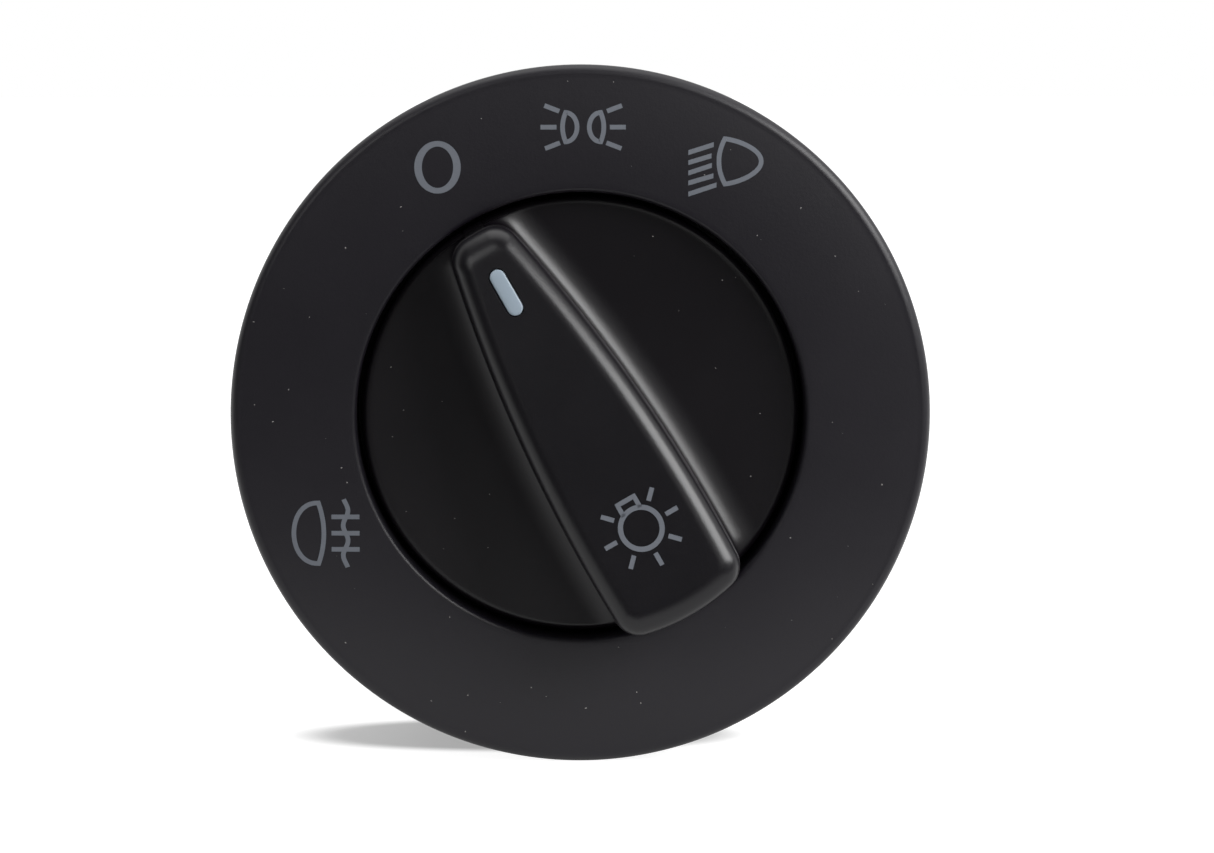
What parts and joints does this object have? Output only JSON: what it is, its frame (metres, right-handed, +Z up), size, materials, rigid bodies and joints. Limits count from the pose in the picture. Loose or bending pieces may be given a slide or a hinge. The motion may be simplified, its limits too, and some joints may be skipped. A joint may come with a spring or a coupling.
{
  "type": "headlight switch",
  "caption": "Round rotary vehicle headlight switch with a tapered grip bar that turns, pulls for the fog lamp and pushes to free its panel latches.",
  "frame": {"origin": "on the knob's axis, in the plane of the panel's front face, where the rear of the bezel's skirt and of the housing's flange rest", "axes": "+Y into the panel along the knob's axis, +Z up the face as it is read, +X to the driver's right"},
  "size_m": [0.068, 0.0617, 0.068],
  "materials": {
    "black_face": "fine satin grain",
    "black_cap": "smooth satin",
    "pointer": "translucent white",
    "clear": "clear light guide",
    "housing": "moulded dark grey",
    "natural": "moulded natural",
    "board": "black solder mask",
    "lamp": "lamp body",
    "brass": "bright",
    "tinned": "tinned copper",
    "spring": "spring steel"
  },
  "bodies": {
    "housing": {"housing": "housing", "bezel": "black_face", "light_guide_ring": "clear", "circuit_board": "board", "led_off": "lamp", "led_parking": "lamp", "led_beam": "lamp", "led_fog": "lamp", "led_knob": "lamp", "contact_plate": "natural", "track_common": "brass", "track_parking": "brass", "track_beam": "brass", "fog_contact_left": "brass", "fog_contact_right": "brass", "detent_spring_top": "spring", "detent_spring_bottom": "spring", "latch_spring_left": "spring", "latch_spring_right": "spring", "board_pin_1": "tinned", "board_pin_2": "tinned", "board_pin_3": "tinned", "rear_cover": "housing", "terminal_1": "tinned", "terminal_2": "tinned", "terminal_3": "tinned", "terminal_4": "tinned", "terminal_5": "tinned", "terminal_6": "tinned", "terminal_7": "tinned", "terminal_8": "tinned", "terminal_9": "tinned", "terminal_10": "tinned"},
    "rotor": {"rotor": "natural", "wiper_1": "brass", "wiper_2": "brass", "wiper_3": "brass", "return_spring": "spring"},
    "knob": {"knob": "black_face", "grip_cap": "black_cap", "pointer_window": "pointer", "knob_light_guide": "clear", "pull_contact": "brass"},
    "release_ring": {"release_ring": "natural"},
    "latch_left": {"latch_left": "natural"},
    "latch_right": {"latch_right": "natural"}
  },
  "joints": [
    {"name": "knob_turn", "type": "hinge", "parent": "housing", "child": "rotor", "pos_m": [0, 0, 0], "axis": [0, 1, 0], "range_deg": [0, 60], "deforming": ["detent_spring_top", "detent_spring_bottom"]},
    {"name": "knob_pull", "type": "slide", "parent": "rotor", "child": "knob", "axis": [0, -1, 0], "range_m": [-0.002, 0.005], "deforming": ["return_spring", "fog_contact_left", "fog_contact_right"]},
    {"name": "release_turn", "type": "hinge", "parent": "housing", "child": "release_ring", "pos_m": [0, 0, 0], "axis": [0, 1, 0], "range_deg": [0, 30], "stiffness_Nm_per_rad": 0.0148, "springref_deg": -23.08},
    {"name": "latch_right_slide", "type": "slide", "parent": "housing", "child": "latch_right", "axis": [-1, 0, 0], "range_m": [0, 0.0026], "deforming": ["latch_spring_right"]},
    {"name": "latch_left_slide", "type": "slide", "parent": "housing", "child": "latch_left", "axis": [1, 0, 0], "range_m": [0, 0.0026], "deforming": ["latch_spring_left"]}
  ],
  "couplings": [
    {"joint": "latch_right_slide", "follows": "release_turn", "m_per_rad": 0.0049656},
    {"joint": "latch_left_slide", "follows": "release_turn", "m_per_rad": 0.0049656}
  ]
}
